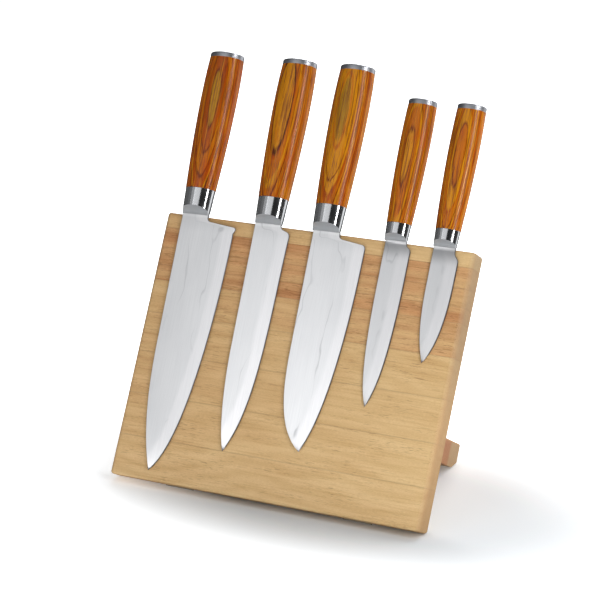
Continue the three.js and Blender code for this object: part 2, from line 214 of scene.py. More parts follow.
def rest_height(depth):
    """How high up the face the level cuts for the table meet a depth behind it."""
    return (depth * math.sin(LEAN) - REST_CUT) / math.cos(LEAN)


def rest_depth(height):
    """How far behind the face those cuts meet a height up it."""
    return (height * math.cos(LEAN) + REST_CUT) / math.sin(LEAN)


# -------------------- mesh tools

def loft(rings, wrap=False):
    """A closed skin over rings that have the same number of points."""
    bm = bmesh.new()
    rows = [[bm.verts.new(point) for point in ring] for ring in rings]
    pairs = list(zip(rows, rows[1:]))
    if wrap:
        pairs.append((rows[-1], rows[0]))
    else:
        bm.faces.new(rows[0])
        bm.faces.new(rows[-1])
    for row, following in pairs:
        for i in range(len(row)):
            j = (i + 1) % len(row)
            bm.faces.new((row[i], row[j], following[j], following[i]))
    bmesh.ops.recalc_face_normals(bm, faces=bm.faces)
    return bm


def prism(outline, low_x, high_x):
    """A (y, z) outline carried along x."""
    return loft([[(x, y, z) for y, z in outline] for x in (low_x, high_x)])


def block(low, high):
    """A box between two corners."""
    outline = [(low[1], low[2]), (high[1], low[2]), (high[1], high[2]), (low[1], high[2])]
    return prism(outline, low[0], high[0])


def round_edges(bm, radius, chosen=None, segments=4):
    """Rounds the edges whose two ends pass the chosen test, or every edge."""
    edges = [e for e in bm.edges if chosen is None or chosen(e.verts[0].co, e.verts[1].co)]
    bmesh.ops.bevel(
        bm, geom=edges, offset=radius, segments=segments, profile=0.5, affect="EDGES",
    )
    return bm


def slice_off(bm, point, direction):
    """Cuts away what lies beyond a plane, and closes the cut."""
    whole = bm.verts[:] + bm.edges[:] + bm.faces[:]
    result = bmesh.ops.bisect_plane(
        bm, geom=whole, plane_co=point, plane_no=direction, clear_outer=True, dist=1e-5,
    )
    edges = [part for part in result["geom_cut"] if isinstance(part, bmesh.types.BMEdge)]
    bmesh.ops.edgeloop_fill(bm, edges=edges)


def to_object(name, bm):
    """Turns a mesh under construction into an object of the scene."""
    mesh = bpy.data.meshes.new(name)
    bm.to_mesh(mesh)
    bm.free()
    piece = bpy.data.objects.new(name, mesh)
    bpy.context.scene.collection.objects.link(piece)
    return piece


def carve(bm, tools):
    """Cuts the tools' shapes out of a solid."""
    solid = to_object("solid", bm)
    cutters = [to_object("cutter", tool) for tool in tools]
    for cutter in cutters:
        cut = solid.modifiers.new("cut", "BOOLEAN")
        cut.operation = "DIFFERENCE"
        cut.solver = "EXACT"
        cut.object = cutter
    evaluated = solid.evaluated_get(bpy.context.evaluated_depsgraph_get())
    carved = bmesh.new()
    carved.from_mesh(evaluated.to_mesh())
    for used in (solid, *cutters):
        bpy.data.meshes.remove(used.data)
    return carved


def store(mesh, name, kind, values):
    """Keeps a number or a vector for each vertex, for the materials to read."""
    attribute = mesh.attributes.new(name, kind, "POINT")
    key = "vector" if kind == "FLOAT_VECTOR" else "value"
    attribute.data.foreach_set(key, np.asarray(values, np.float32).ravel())


def finish_piece(name, bm, place, body, slot, materials, seed=(0, 0, 0), smooth=35, **marks):
    """Places a solid built in millimetres. Its "grain" attribute is where each vertex is in the
    solid's own frame, shifted by the seed so that no two pieces of wood are alike. Each mark is a
    function that gives one more number for each vertex."""
    piece = to_object(name, bm)
    mesh = piece.data
    local = np.array([v.co for v in mesh.vertices])
    store(mesh, "grain", "FLOAT_VECTOR", local + np.array(seed))
    for mark, value_at in marks.items():
        store(mesh, mark, "FLOAT", value_at(local))
    mesh.transform(place)
    for material in materials:
        mesh.materials.append(material)
    mesh.polygons.foreach_set("use_smooth", [True] * len(mesh.polygons))
    mesh.set_sharp_from_angle(angle=math.radians(smooth))
    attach(piece, body)
    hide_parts(name.replace("_visual", ""))
    # handles and ferrules stay out of their neighbours' mirror images, as in a retouched picture
    piece.visible_glossy = "_handle" not in name and "_ferrule" not in name


# -------------------- materials

def srgb(red, green, blue):
    """A colour as it is picked on screen, from 0 to 255, as the linear one that shaders use."""
    linear = [
        c / 12.92 if c <= 0.04045 else ((c + 0.055) / 1.055) ** 2.4
        for c in (red / 255, green / 255, blue / 255)
    ]
    return (*linear, 1.0)


class Graph:
    """The nodes of a material or a world, with one short call for each kind that is used here."""

    def __init__(self, owner, shader, output):
        owner.use_nodes = True
        self.owner = owner
        self.tree = owner.node_tree
        self.tree.nodes.clear()
        self.shader = self.node(shader)
        self.plug(self.node(output).inputs["Surface"], self.shader.outputs[0])

    def node(self, kind, **settings):
        made = self.tree.nodes.new(kind)
        for setting, value in settings.items():
            setattr(made, setting, value)
        return made

    def plug(self, socket, value):
        """Links a socket to another one, or sets it to a number, vector or colour."""
        if isinstance(value, bpy.types.NodeSocket):
            self.tree.links.new(value, socket)
        else:
            socket.default_value = value

    def set(self, **inputs):
        """Sets the shader's inputs, named in lower case with _ for a space."""
        names = {socket.name.lower().replace(" ", "_"): socket for socket in self.shader.inputs}
        for name, value in inputs.items():
            self.plug(names[name], value)

    def attribute(self, name, output="Vector"):
        return self.node("ShaderNodeAttribute", attribute_name=name).outputs[output]

    def math(self, operation, a, b=0.0, c=0.0, clamp=False):
        made = self.node("ShaderNodeMath", operation=operation, use_clamp=clamp)
        for socket, value in zip(made.inputs, (a, b, c)):
            self.plug(socket, value)
        return made.outputs[0]

    def stretch(self, vector, factors, shift=(0, 0, 0)):
        made = self.node("ShaderNodeVectorMath", operation="MULTIPLY_ADD")
        self.plug(made.inputs[0], vector)
        self.plug(made.inputs[1], factors)
        self.plug(made.inputs[2], shift)
        return made.outputs[0]

    def parts(self, vector):
        made = self.node("ShaderNodeSeparateXYZ")
        self.plug(made.inputs[0], vector)
        return made.outputs

    def noise(self, vector, detail=2.0, roughness=0.5):
        made = self.node("ShaderNodeTexNoise")
        self.plug(made.inputs["Vector"], vector)
        made.inputs["Scale"].default_value = 1.0
        made.inputs["Detail"].default_value = detail
        made.inputs["Roughness"].default_value = roughness
        return made.outputs[0]

    def spread(self, value, low, high, to_low=0.0, to_high=1.0):
        """Maps low..high smoothly to to_low..to_high, and holds the ends."""
        made = self.node("ShaderNodeMapRange", interpolation_type="SMOOTHSTEP")
        for socket, number in zip(made.inputs, (value, low, high, to_low, to_high)):
            self.plug(socket, number)
        return made.outputs[0]

    def ramp(self, value, stops):
        """A colour for each value from 0 to 1: stops are (value, colour)."""
        made = self.node("ShaderNodeValToRGB")
        self.plug(made.inputs[0], value)
        elements = made.color_ramp.elements
        while len(elements) < len(stops):
            elements.new(0.5)
        for element, (position, colour) in zip(elements, stops):
            element.position = position
            element.color = colour
        return made.outputs["Color"]

    def mix(self, factor, a, b, blend="MIX"):
        made = self.node("ShaderNodeMix", data_type="RGBA", blend_type=blend)
        self.plug(made.inputs[0], factor)
        self.plug(made.inputs[6], a)
        self.plug(made.inputs[7], b)
        return made.outputs[2]

    def bump(self, height, depth, strength):
        """Depth is in millimetres, for a height that goes from 0 to 1."""
        made = self.node("ShaderNodeBump")
        made.inputs["Strength"].default_value = strength
        made.inputs["Distance"].default_value = depth * MM
        self.plug(made.inputs["Height"], height)
        return made.outputs[0]


def material_graph(name):
    material = bpy.data.materials.new(name)
    return Graph(material, "ShaderNodeBsdfPrincipled", "ShaderNodeOutputMaterial")


WOOD = dict(
    pale=srgb(216, 187, 141), pale_dark=srgb(186, 149, 100),
    warm=srgb(198, 148, 104), warm_dark=srgb(150, 100, 62),
    end=srgb(176, 137, 96), end_pale=srgb(146, 122, 92), pore=srgb(112, 74, 42),
)
FOOT_WOOD = dict(
    pale=srgb(206, 172, 126), pale_dark=srgb(178, 138, 92),
    warm=srgb(190, 140, 98), warm_dark=srgb(150, 98, 60),
    end=srgb(176, 119, 88), end_pale=srgb(181, 152, 118), pore=srgb(110, 72, 44),
)
COVER_WOOD = dict(
    FOOT_WOOD, pale=srgb(196, 162, 116), pale_dark=srgb(170, 132, 88), pore=srgb(100, 66, 40),
)
# painted light that lightens the board's face towards its foot
PAINTED_LIGHT_TINT = (1.24, 1.29, 1.36, 1.0)     # what the lightest part of the face is multiplied by


def ring_shade(g, grain, ripple, streak):
    """How dark the growth rings, the clouds and the streaks make the wood, from 0 to 1."""
    bend = g.noise(g.stretch(grain, (0.006, 0.03, 0.018)), detail=1.5)
    place = g.math("MULTIPLY_ADD", g.parts(grain)[2], 0.10, g.math("MULTIPLY", bend, 7.0))
    place = g.math("MULTIPLY_ADD", ripple, 0.8, place)
    ring = g.spread(g.math("PINGPONG", place, 0.5), 0.05, 0.5)
    cloud = g.noise(g.stretch(grain, (0.012, 0.1, 0.10)), detail=3, roughness=0.6)
    shade = g.math("MULTIPLY_ADD", ring, 0.22, g.spread(cloud, 0.3, 0.75, 0.0, 0.3))
    return g.math("MULTIPLY_ADD", g.spread(streak, 0.45, 0.8), 0.45, shade, clamp=True)


def pore_marks(g, grain, warm):
    """Short dark pores along the grain. They come in drifts, and more of them in the red wood."""
    pore = g.noise(g.stretch(grain, (0.13, 1.7, 1.7)), detail=2, roughness=0.55)
    drift = g.noise(g.stretch(grain, (0.02, 0.1, 0.14), (2, 9, 4)), detail=2)
    drift = g.math("MULTIPLY_ADD", warm, 0.3, g.spread(drift, 0.38, 0.75, 0.03, 0.45))
    return g.math("MULTIPLY", g.spread(pore, 0.55, 0.68), drift)


def glue_line(g, ripple):
    """How much of the dark line shows where two staves are glued together."""
    above = g.attribute("above_joint", "Fac")
    joint = g.math("MINIMUM", g.attribute("below_joint", "Fac"), above)
    joint = g.math("MULTIPLY_ADD", g.math("SUBTRACT", ripple, 0.5), 0.5, joint)
    return g.spread(joint, 0.1, 0.6, 0.17, 0.0)


def plank_wood(name, colours, joints=False):
    """Oiled rubberwood with its grain along x."""
    g = material_graph(name)
    grain = g.attribute("grain")
    ripple = g.noise(g.stretch(grain, (0.03, 0.15, 0.12)), detail=2)
    streak = g.noise(g.stretch(grain, (0.02, 0.8, 0.75)), detail=3, roughness=0.6)
    shade = ring_shade(g, grain, ripple, streak)

    blush = g.noise(g.stretch(grain, (0.014, 0.12, 0.12), (7, 3, 5)), detail=2)
    blush = g.spread(blush, 0.25, 0.75, 0.55, 1.25)
    warm = g.math("MULTIPLY", g.attribute("warmth", "Fac"), blush, clamp=True)
    light = g.mix(warm, colours["pale"], colours["warm"])
    dark = g.mix(warm, colours["pale_dark"], colours["warm_dark"])
    colour = g.mix(shade, light, dark)

    pores = pore_marks(g, grain, warm)
    colour = g.mix(pores, colour, colours["pore"])
    fleck = g.noise(g.stretch(grain, (0.5, 4.0, 4.0)), detail=2)
    flecked = g.ramp(fleck, [(0.3, srgb(150, 112, 72)), (0.7, srgb(246, 226, 188))])
    colour = g.mix(0.35, colour, flecked, "SOFT_LIGHT")
    if joints:
        colour = g.mix(glue_line(g, ripple), colour, colours["pore"])
    # painted light: the face is lightened towards its foot
    colour = g.mix(g.attribute("painted_light", "Fac"), colour, PAINTED_LIGHT_TINT, "MULTIPLY")
    end = g.mix(g.spread(g.attribute("end_tone", "Fac"), 0, 1), colours["end"], colours["end_pale"])
    colour = g.mix(g.math("MULTIPLY", g.attribute("end_grain", "Fac"), 0.75), colour, end)

    height = g.math("MULTIPLY_ADD", pores, -1.0, g.math("MULTIPLY", fleck, 0.5))
    g.set(
        base_color=colour,
        roughness=g.spread(streak, 0.2, 0.8, 0.46, 0.60),
        specular_ior_level=0.35,
        normal=g.bump(height, 0.05, 0.6),
    )
    return g.owner


VENEER = dict(
    gold=srgb(196, 126, 15), amber=srgb(180, 96, 8), rust=srgb(160, 72, 4),
    brown=srgb(108, 43, 3), dark=srgb(56, 16, 2), olive=srgb(160, 114, 22),
)
VENEER_BOW = 0.013      # how much the veneers follow the handle's round front, per mm
VENEER_BLUR = 0.05      # half the width over which one veneer blends into the next


def veneer_depth(handle, knife, centre):
    """A function for how deep points lie in the veneers, counted from the handle's belly."""
    widest = handle_side(handle)[:, 0].max()
    front = centre - OVAL_FLATNESS * widest
    length = handle["wood_top"] - handle["ferrule_top"]

    def depth(points):
        bow = VENEER_BOW * (points[:, 0] - knife["veneer_centre"]) ** 2
        lean = knife["veneer_slope"] * (points[:, 2] - handle["belly"][0]) / length
        return points[:, 1] - front - bow + lean

    return depth


def veneer_stops(layers):
    """Ramp stops for a string of colours and thicknesses, and the thickness of them all."""
    words = layers.split()
    names, widths = words[::2], [float(word) for word in words[1::2]]
    total = sum(widths)
    stops = []
    start = 0.0
    for name, width in zip(names, widths):
        soft = min(VENEER_BLUR, 0.4 * width)
        end = start + width
        stops += [((start + soft) / total, VENEER[name]), ((end - soft) / total, VENEER[name])]
        start = end
    return stops, total


def handle_wood(name, knife):
    """Lacquered laminated wood: thin dyed veneers that lie parallel to the blade."""
    stops, total = veneer_stops(knife["layers"])
    g = material_graph(name)
    grain = g.attribute("grain")
    depth = g.attribute("veneer_depth", "Fac")

    wave = g.noise(g.stretch(grain, (0.09, 0.09, 0.018)), detail=2)
    ragged = g.noise(g.stretch(grain, (0.5, 0.5, 0.06)), detail=3, roughness=0.6)
    shifted = g.math("MULTIPLY_ADD", g.math("SUBTRACT", wave, 0.5), 0.7, depth)
    shifted = g.math("MULTIPLY_ADD", g.math("SUBTRACT", ragged, 0.5), 0.22, shifted)
    folded = g.math("DIVIDE", g.math("PINGPONG", shifted, total), total)
    colour = g.ramp(folded, stops)

    streak = g.noise(g.stretch(grain, (1.0, 1.0, 0.03)), detail=3, roughness=0.6)
    colour = g.mix(g.spread(streak, 0.47, 0.64, 0.0, 0.75), colour, srgb(98, 38, 3))
    glow = g.noise(g.stretch(grain, (0.9, 0.9, 0.02), (4, 1, 6)), detail=3)
    colour = g.mix(g.spread(glow, 0.50, 0.70, 0.0, 0.6), colour, srgb(200, 128, 18))
    blush = g.noise(g.stretch(grain, (0.14, 0.14, 0.05), (9, 4, 2)), detail=2)
    colour = g.mix(g.spread(blush, 0.58, 0.76, 0.0, 0.45), colour, srgb(172, 66, 8))
    pore = g.noise(g.stretch(grain, (2.6, 2.6, 0.16)), detail=2)
    pores = g.spread(pore, 0.60, 0.72)
    colour = g.mix(g.math("MULTIPLY", pores, 0.6), colour, srgb(78, 30, 6))

    g.set(
        base_color=colour,
        roughness=g.spread(streak, 0.3, 0.8, 0.24, 0.31),
        specular_ior_level=0.30,
        normal=g.bump(g.math("MULTIPLY_ADD", pores, -1.0, streak), 0.02, 0.5),
    )
    return g.owner


def blade_steel(name, knife):
    """Satin layered steel: a few faint wavy lines in the cladding, and a brighter core."""
    g = material_graph(name)
    grain = g.attribute("grain")
    edge_gap = g.attribute("edge_gap", "Fac")

    wave = g.noise(g.stretch(grain, (0.03, 0.0, 0.010)), detail=3, roughness=0.55)
    lines = g.math("MULTIPLY_ADD", edge_gap, 0.035, g.math("MULTIPLY", wave, 3.2))
    lines = g.spread(g.math("PINGPONG", lines, 0.5), 0.0, 0.045, 1.0, 0.0)
    broken = g.noise(g.stretch(grain, (0.06, 0.0, 0.02), (5, 0, 3)), detail=1)
    lines = g.math("MULTIPLY", lines, g.spread(broken, 0.38, 0.58))
    cloud = g.noise(g.stretch(grain, (0.06, 0.0, 0.02), (2, 0, 8)), detail=3)
    scratch = g.noise(g.stretch(grain, (0.25, 0.0, 9.0)), detail=2, roughness=0.7)

    border = g.math("MULTIPLY_ADD", wave, 10.0, knife["handle"]["blade_thickness"] * 2.0)
    core = g.spread(g.math("SUBTRACT", border, edge_gap), -2.5, 1.5)
    lined = g.math("MULTIPLY", lines, g.math("SUBTRACT", 1.0, core))

    tone = knife["handle"]["steel_tone"]
    colour = g.mix(core, srgb(tone, tone + 1, tone + 3), srgb(tone + 10, tone + 10, tone + 12))
    colour = g.mix(g.spread(cloud, 0.3, 0.7, 0.0, 0.12), colour, srgb(190, 192, 196))
    colour = g.mix(g.math("MULTIPLY", lined, 0.22), colour, srgb(120, 124, 130))
    # painted shade in the hollow below the ferrule, deeper where the hollow is deeper
    colour = g.mix(g.attribute("hollow", "Fac"), colour, srgb(92, 92, 95))
    brushed = g.noise(g.stretch(grain, (1.6, 0.0, 0.02), (3, 0, 1)), detail=3, roughness=0.7)
    colour = g.mix(g.spread(brushed, 0.35, 0.7, 0.0, 0.12), colour, srgb(170, 172, 176))
    # painted shade along the cutting edge: a dark reflection in the bevel and the thin shadow beside
    # it
    colour = g.mix(g.spread(edge_gap, 0.3, 0.8, 0.75, 0.0), colour, srgb(70, 66, 64))
    roughness = g.math("MULTIPLY_ADD", lined, 0.06, g.spread(scratch, 0.2, 0.8, 0.28, 0.32))
    height = g.math("MULTIPLY_ADD", lined, -1.0, g.math("MULTIPLY", scratch, 0.2))
    g.set(
        base_color=colour,
        metallic=1.0,
        roughness=roughness,
        normal=g.bump(height, 0.004, 0.5),
    )
    return g.owner


TURNING_DEPTH = 0.2     # how much the turning rings show
RING_SHADE = 0.72       # how much darker than the steel they are


def turned_steel(name, colour, roughness, metallic=1.0):
    """Steel with the faint rings that turning and buffing leave round it."""
    g = material_graph(name)
    grain = g.attribute("grain")
    rings = g.noise(g.stretch(grain, (0.12, 0.12, 6.0)), detail=3, roughness=0.7)
    smudge = g.noise(g.stretch(grain, (0.12, 0.12, 0.12)), detail=3)
    shaded = (*(RING_SHADE * channel for channel in colour[:3]), 1.0)
    g.set(
        base_color=g.mix(g.spread(rings, 0.3, 0.7, 0.0, TURNING_DEPTH), colour, shaded),
        metallic=metallic,
        roughness=g.spread(smudge, 0.25, 0.8, roughness, roughness * 1.6),
        normal=g.bump(rings, 0.002, 0.3),
    )
    return g.owner


def magnet_plating(name):
    """Dull nickel plating."""
    g = material_graph(name)
    place = g.node("ShaderNodeTexCoord").outputs["Object"]
    mottle = g.noise(g.stretch(place, (900.0,) * 3), detail=4)
    g.set(
        base_color=g.ramp(mottle, [(0.3, srgb(110, 114, 118)), (0.7, srgb(168, 172, 176))]),
        metallic=1.0,
        roughness=g.spread(mottle, 0.2, 0.8, 0.3, 0.5),
        normal=g.bump(mottle, 0.02, 0.4),
    )
    return g.owner


def dowel_wood(name):
    """Bare beech, with its fibres near enough along the dowels."""
    g = material_graph(name)
    place = g.node("ShaderNodeTexCoord").outputs["Object"]
    fibre = g.noise(g.stretch(place, (900.0, 60.0, 900.0)), detail=4, roughness=0.6)
    g.set(
        base_color=g.ramp(fibre, [(0.3, srgb(176, 140, 94)), (0.7, srgb(220, 194, 150))]),
        roughness=g.spread(fibre, 0.2, 0.8, 0.6, 0.8),
        normal=g.bump(fibre, 0.1, 0.5),
    )
    return g.owner


def pad_rubber(name):
    """Pebbled grey rubber."""
    g = material_graph(name)
    grain = g.attribute("grain")
    pebble = g.noise(g.stretch(grain, (2.5, 2.5, 2.5)), detail=4, roughness=0.65)
    g.set(
        base_color=g.ramp(pebble, [(0.3, srgb(150, 143, 130)), (0.75, srgb(190, 182, 168))]),
        roughness=g.spread(pebble, 0.2, 0.8, 0.75, 0.95),
        normal=g.bump(pebble, 0.08, 0.7),
    )
    return g.owner


# -------------------- the board

def rounded_rectangle(low, high, radius, height):
    """A ring round a rectangle in x and y whose corners are rounded."""
    corners = ((high[0], high[1]), (low[0], high[1]), (low[0], low[1]), (high[0], low[1]))
    ring = []
    for quarter, (x, y) in enumerate(corners):
        middle_x = x - math.copysign(radius, x)
        middle_y = y - radius if y == high[1] else y + radius
        for angle in quarter * math.pi / 2 + np.linspace(0, math.pi / 2, ROUNDING_STEPS):
            along_x, along_y = math.cos(angle), math.sin(angle)
            ring.append((middle_x + radius * along_x, middle_y + radius * along_y, height))
    return ring


def board_blank(low, high):
    """The whole board in one piece: upright edges rounded, and cut level with the table."""
    blank = loft([rounded_rectangle(low, high, END_ROUNDING, height) for height in (0, high[2])])
    slice_off(blank, (0, rest_depth(0), 0), (0, math.sin(LEAN), -math.cos(LEAN)))

    def on_rim(a, b):
        at_top = min(a.z, b.z) > high[2] - SAME
        at_foot = max(a.z, b.z) < SAME and min(a.y, b.y) < rest_depth(0) - SAME
        return at_top or at_foot

    return round_edges(blank, RIM_ROUNDING, on_rim)


def slot_tool(row):
    """The slot that is milled from behind for one row of magnets."""
    cover_low, cover_high = board_box(f"slot_cover_{row}")
    magnet_low, _ = board_box(f"magnet_{row}_chef")
    low = (cover_low[0] - GAP, magnet_low[1] - GAP, cover_low[2] - GAP)
    high = (cover_high[0] + GAP, cover_high[1] + 1, cover_high[2] + GAP)
    return block(low, high)


def dowel_tools():
    """The dowels' holes, which run through the joint between the board and the foot."""
    radius = DOWEL_RADIUS + HAIRLINE
    tools = []
    for i in range(DOWELS):
        low, high = board_box(f"foot_dowel_{i + 1}")
        middle = (low + high) / 2
        rings = []
        for y in (low[1] - GAP, high[1] + GAP):
            rings.append([
                (middle[0] + radius * math.cos(angle), y, middle[2] + radius * math.sin(angle))
                for angle in ROUND_ANGLES[::2]
            ])
        tools.append(loft(rings))
    return tools


def between(values, limits):
    """How far values are from the first limit to the second: 0 at the one and 1 at the other."""
    return (values - limits[0]) / (limits[1] - limits[0])


def stave_marks(warmth, half, low_joint, high_joint):
    """What the wood's material reads from a stave whose glue lines are at the two heights."""
    left, right = warmth
    return dict(
        warmth=lambda p: left + (right - left) * (p[:, 0] / half + 1) / 2,
        end_grain=lambda p: ((np.abs(p[:, 0]) - half) / END_ROUNDING + 1).clip(0, 1),
        end_tone=lambda p: between(p[:, 2], END_TONE_HEIGHTS),
        # painted light, strongest at the foot of the face
        painted_light=lambda p: between(p[:, 2], PAINTED_LIGHT_HEIGHTS).clip(0, 1),
        below_joint=lambda p: high_joint - p[:, 2],
        above_joint=lambda p: p[:, 2] - low_joint,
    )


def build_board():
    """The staves are sawn out of one blank, so that its rounded edges run on from one to the next."""
    boxes = [board_box(f"board_stave_{i + 1}") for i in range(STAVES)]
    low = np.min([box[0] for box in boxes], axis=0)
    high = np.max([box[1] for box in boxes], axis=0)
    half = (high[0] - low[0]) / 2
    material = plank_wood("board_wood", WOOD, joints=True)

    for i, (stave_low, stave_high) in enumerate(boxes):
        number = i + 1
        stave = board_blank(low, high)
        if number > 1:
            above = boxes[i - 1][0][2]
            slice_off(stave, (0, 0, above - HAIRLINE), (0, 0, 1))
        if number < STAVES:
            slice_off(stave, (0, 0, stave_low[2] + HAIRLINE), (0, 0, -1))
        if number in SLOT_STAVES:
            stave = carve(stave, [slot_tool(SLOT_STAVES[number])])
        if number == DOWEL_STAVE:
            stave = carve(stave, dowel_tools())
        warmth = STAVE_WARMTH[i]
        finish_piece(
            f"board_stave_{number}_visual", stave, BOARD, "block",
            "board_warm" if warmth[0] > 0.5 else "board_light", [material],
            seed=[number * step for step in STAVE_SEED],
            **stave_marks(warmth, half, stave_low[2], stave_high[2]),
        )


def build_slot_covers():
    """The strips that close the magnets' slots from behind."""
    material = plank_wood("cover_wood", COVER_WOOD)
    for i, row in enumerate(("upper", "lower")):
        low, high = board_box(f"slot_cover_{row}")
        spare = GAP - HAIRLINE
        cover = block(
            (low[0] - spare, low[1], low[2] - spare), (high[0] + spare, high[1], high[2] + spare)
        )
        finish_piece(
            f"slot_cover_{row}_visual", round_edges(cover, COVER_EDGE, segments=2), BOARD, "block",
            "cover_wood", [material], seed=(190.0 * i, 71.0, 300.0 * i),
            warmth=lambda p: np.full(len(p), 0.3),
        )


def build_foot():
    """The plank that stands square to the board's back, cut level with the table."""
    low, high = board_box("rear_foot")
    half = high[0]
    joint_face = low[1] - GAP + HAIRLINE
    painted_shade_depths = [joint_face + depth for depth in FOOT_PAINTED_SHADE_DEPTHS]
    outline = [
        (joint_face, low[2]),
        (rest_depth(low[2]), low[2]),
        (high[1], rest_height(high[1])),
        (high[1], high[2]),
        (joint_face, high[2]),
    ]

    def flat(co):
        return co.y < joint_face + SAME or abs(co.z - rest_height(co.y)) < SAME

    foot = prism(outline, low[0], high[0])
    round_edges(foot, EASED_EDGE, lambda a, b: not (flat(a) and flat(b)))
    foot = carve(foot, dowel_tools())
    finish_piece(
        "rear_foot_visual", foot, BOARD, "block", "foot_wood",
        [plank_wood("foot_wood", FOOT_WOOD)], seed=(77.0, 900.0, 12.0),
        warmth=lambda p: np.full(len(p), 0.35),
        end_grain=lambda p: np.abs(p[:, 0]) > half - SAME,
        # painted shade: the end is darker and redder near the board, which shades it, and paler
        # beyond
        end_tone=lambda p: between(p[:, 1], painted_shade_depths),
    )


def build_pads():
    material = pad_rubber("pad_rubber")
    for row in ("board", "foot"):
        for side in ("left", "right"):
            name = f"{row}_pad_{side}"
            low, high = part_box(name)
            pad = block(low / MM, high / MM)
            round_edges(pad, PAD_EDGE, segments=3)
            finish_piece(
                f"{name}_visual", pad, Matrix.Scale(MM, 4), "block", "pad_rubber", [material]
            )


# -------------------- the knives

def bezier(points, steps=24):
    """Points along a Bezier curve through its control points."""
    share = np.linspace(0, 1, steps)[:, None]
    levels = [np.repeat([point], steps, axis=0) for point in np.array(points, float)]
    while len(levels) > 1:
        levels = [(1 - share) * a + share * b for a, b in zip(levels, levels[1:])]
    return levels[0]


def blade_sides(knife):
    """The spine side and the edge side of a blade, each as points from the tip to the ferrule."""
    tip = knife["tip"]
    spine_start = (knife["spine"], knife["spine_end"])
    spine = np.vstack([
        bezier([tip, *knife["spine_curve"][::-1], spine_start], 60),
        [(knife["spine"], 0)],
    ])
    edge = np.vstack([
        bezier([tip, *knife["edge_curve"][::-1], knife["edge_top"]], 60),
        bezier([knife["heel_end"], knife["heel_curve"], knife["heel_top"]]),
        bezier([knife["shoulder"], knife["neck_curve"], knife["neck"]]),
        [(knife["neck"][0], 0)],
    ])
    return spine, edge


def row_heights(knife, edge):
    """Where the rows of a blade's mesh lie: close together by the tip, the heel and the neck."""
    tip = knife["tip"][1]
    near_tip = tip + np.array([0.02, 0.1, 0.25, 0.5, 0.8, 1.2, 1.7, 2.3, 3.0, 4.0, 5.2, 6.6])
    body = np.arange(tip + 8, knife["heel_end"][1], ROW_STEP)
    heel = edge[edge[:, 1] > knife["heel_end"][1], 1]
    heights = np.unique(np.round(np.concatenate([near_tip, body, heel, [0.0]]), 3))
    keep = np.concatenate([[True], np.diff(heights) > 0.015])
    return heights[keep]


def blade_ring(left, right, height, centre, half_at):
    """One ring round a blade: across its front to the edge, and back again behind."""
    width = right - left
    bevel = min(EDGE_BEVEL, 0.3 * width)
    rounding = min(SPINE_ROUNDING, 0.15 * width)
    offsets = np.concatenate([
        rounding * np.array([0.0, 0.3, 1.0]),
        np.linspace(rounding, width - bevel, FACE_COLUMNS + 1)[1:],
        [width - 0.5 * bevel, width],
    ])
    halves = half_at(offsets, width, bevel, rounding)
    front = [(left + o, centre - h, height) for o, h in zip(offsets, halves)]
    behind = [(left + o, centre + h, height) for o, h in zip(offsets, halves)]
    return front + behind[::-1]


def hollow_depth(handle, height):
    """How deep a blade is hollowed: it dips quickly below the ferrule, and then eases out."""
    share = np.interp(height, HOLLOW_HEIGHTS, (0, 1, 0))
    return handle["hollow"] * share ** 2 * (3 - 2 * share)


def blade_halves(knife, height, left, ground_to):
    """A function for half the blade's thickness across one row, from the spine to the edge."""
    handle = knife["handle"]
    heel_top, heel_end = knife["heel_top"][1], knife["heel_end"][1]
    taper = 1 - DISTAL_TAPER * (height / knife["tip"][1])
    spine_half = handle["blade_thickness"] / 2 * taper - hollow_depth(handle, height)
    sharp = np.clip((heel_top - height) / (heel_top - heel_end + 1.0), 0, 1)

    def half_at(offsets, width, bevel, rounding):
        share = np.clip(offsets / max(ground_to - left, 1e-6), 0, 1)
        half = spine_half + (FACE_HALF - spine_half) * share
        rounded_off = min(rounding, 0.6 * spine_half)
        half = half - (1 - np.minimum(offsets / rounding, 1)) ** 2 * rounded_off
        into_bevel = np.clip((offsets - (width - bevel)) / bevel, 0, 1)
        return half + (EDGE_HALF - half) * into_bevel * sharp

    return half_at


def tang_half(offsets, *_):
    """The same for the tang, which is flat."""
    return np.full(len(offsets), TANG_THICKNESS / 2)


def build_blade(name, knife, place, centre):
    """A blade with its tang. It is ground from the spine to the edge, and hollowed at its top."""
    handle = knife["handle"]
    spine, edge = blade_sides(knife)
    heel_x, heel_end = knife["heel_end"]
    rings = []
    for height in row_heights(knife, edge):
        left = np.interp(height, spine[:, 1], spine[:, 0])
        right = np.interp(height, edge[:, 1], edge[:, 0])
        ground_to = right if height < heel_end else max(right, heel_x)
        half_at = blade_halves(knife, height, left, ground_to)
        rings.append(blade_ring(left, right, height, centre, half_at))
    tang = handle["tang_half_width"]
    for height in (0.0, handle["tang_length"]):
        rings.append(blade_ring(-tang, tang, height, centre, tang_half))

    def edge_gap(points):
        """How far points are from the cutting edge."""
        return np.interp(points[:, 2], edge[:, 1], edge[:, 0]) - points[:, 0]

    def hollow(points):
        """How much painted shade darkens the hollow."""
        return HOLLOW_PAINTED_SHADE * hollow_depth(handle, points[:, 2])

    finish_piece(
        f"{name}_blade_visual", loft(rings), place, name, "blade_steel",
        [blade_steel(f"{name}_blade_steel", knife)],
        seed=(0, 0, 40.0 * len(name)), smooth=12, edge_gap=edge_gap, hollow=hollow,
    )


def oval_ring(half_width, height, centre):
    """A ring of the handle's oval section."""
    half_depth = OVAL_FLATNESS * half_width
    return [
        (half_width * math.cos(angle), centre + half_depth * math.sin(angle), height)
        for angle in ROUND_ANGLES
    ]


def tang_ring(handle, height, centre):
    """The hole for the tang, with as many points as an oval ring has."""
    half_width = handle["tang_half_width"] + GAP
    half_depth = TANG_THICKNESS / 2 + GAP
    ring = []
    for angle in ROUND_ANGLES:
        along_x, along_y = math.cos(angle), math.sin(angle)
        reach = 1 / max(abs(along_x) / half_width, abs(along_y) / half_depth)
        ring.append((reach * along_x, centre + reach * along_y, height))
    return ring


